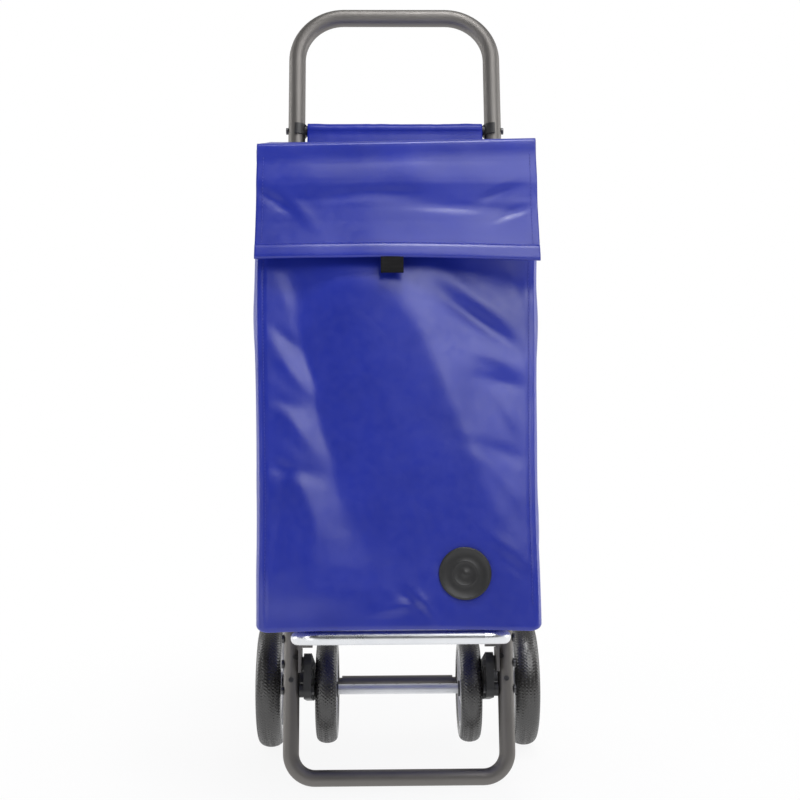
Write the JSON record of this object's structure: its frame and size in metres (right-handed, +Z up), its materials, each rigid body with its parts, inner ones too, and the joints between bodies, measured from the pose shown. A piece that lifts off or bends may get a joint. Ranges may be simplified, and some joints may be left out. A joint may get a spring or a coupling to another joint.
{
  "type": "folding shopping trolley",
  "caption": "Leaning tubular shopping trolley with a lidded fabric bag on a fold-up tray, two main wheels, two smaller raised wheels and a foot bar.",
  "frame": {"origin": "on the floor, below the middle of the trolley's width and depth", "axes": "+X to the viewer's right, -Y to the front where the bag is, +Z up"},
  "size_m": [0.372, 0.4304, 1.0092],
  "materials": {
    "graphite_tube": "satin graphite powder coat",
    "zinc_tube": "bright zinc plate",
    "zinc_fastener": "dark zinc plated",
    "black_plastic": "moulded, fine grain",
    "tyre": "solid tyre with a diamond tread",
    "hub_grey": "moulded",
    "bag_fabric": "coated woven polyester",
    "board": "textured board",
    "badge_plastic": "satin moulded",
    "webbing": "ribbed webbing"
  },
  "bodies": {
    "frame": {"lower_frame": "graphite_tube", "upper_frame": "graphite_tube", "crossbar": "graphite_tube", "tray_stops": "graphite_tube", "main_axle": "graphite_tube", "main_axle_sleeve": "graphite_tube", "aux_axle": "zinc_tube", "frame_rivets": "zinc_fastener", "crossbar_screws": "zinc_fastener", "plate_bolts": "zinc_fastener", "plate_nuts": "zinc_fastener", "leg_screws": "zinc_fastener", "hinge_bolts": "zinc_fastener", "hinge_nuts": "zinc_fastener", "main_push_nuts": "zinc_fastener", "aux_retainers": "zinc_fastener", "aux_push_nuts": "zinc_fastener", "tube_collars": "black_plastic", "crossbar_clamps": "black_plastic", "axle_plates": "black_plastic", "plate_spacers": "black_plastic", "hinge_washers": "black_plastic", "main_axle_spacers": "black_plastic", "aux_axle_spacers": "black_plastic", "bag_studs": "black_plastic", "bag_back": "bag_fabric", "bag_front": "bag_fabric", "bag_left": "bag_fabric", "bag_right": "bag_fabric", "bag_bottom": "bag_fabric", "bag_sleeve": "bag_fabric", "lid_piping": "bag_fabric", "base_board": "board", "badge": "badge_plastic", "badge_washer": "badge_plastic"},
    "tray": {"tray_loop": "zinc_tube", "tray_crossbar": "zinc_tube", "tray_plugs": "black_plastic"},
    "lid": {"lid_top": "bag_fabric", "lid_flap": "bag_fabric", "lid_hem": "bag_fabric", "pull_tab": "webbing"},
    "main_wheel_left": {"main_tyre_left": "tyre", "main_hub_left": "hub_grey", "main_bush_left": "black_plastic", "main_cap_left": "hub_grey"},
    "aux_wheel_left": {"aux_tyre_left": "tyre", "aux_hub_left": "hub_grey", "aux_bush_left": "black_plastic"},
    "main_wheel_right": {"main_tyre_right": "tyre", "main_hub_right": "hub_grey", "main_bush_right": "black_plastic", "main_cap_right": "hub_grey"},
    "aux_wheel_right": {"aux_tyre_right": "tyre", "aux_hub_right": "hub_grey", "aux_bush_right": "black_plastic"}
  },
  "joints": [
    {"name": "tray_fold", "type": "hinge", "parent": "frame", "child": "tray", "pos_m": [0, -0.00012, 0.17398], "axis": [-1, 0, 0], "range_deg": [0, 90], "deforming": ["bag_back", "bag_front", "bag_left", "bag_right", "bag_bottom", "base_board", "bag_studs", "badge", "badge_washer", "lid_piping"]},
    {"name": "lid_hinge", "type": "hinge", "parent": "frame", "child": "lid", "pos_m": [0, 0.14088, 0.81388], "axis": [-1, 0, 0], "range_deg": [0, 105]},
    {"name": "main_wheel_spin_left", "type": "hinge", "parent": "frame", "child": "main_wheel_left", "pos_m": [-0.1695, 0.1206, 0.084], "axis": [1, 0, 0], "continuous": true},
    {"name": "aux_wheel_spin_left", "type": "hinge", "parent": "frame", "child": "aux_wheel_left", "pos_m": [-0.0915, 0.045, 0.096], "axis": [1, 0, 0], "continuous": true},
    {"name": "main_wheel_spin_right", "type": "hinge", "parent": "frame", "child": "main_wheel_right", "pos_m": [0.1695, 0.1206, 0.084], "axis": [1, 0, 0], "continuous": true},
    {"name": "aux_wheel_spin_right", "type": "hinge", "parent": "frame", "child": "aux_wheel_right", "pos_m": [0.0915, 0.045, 0.096], "axis": [1, 0, 0], "continuous": true}
  ]
}
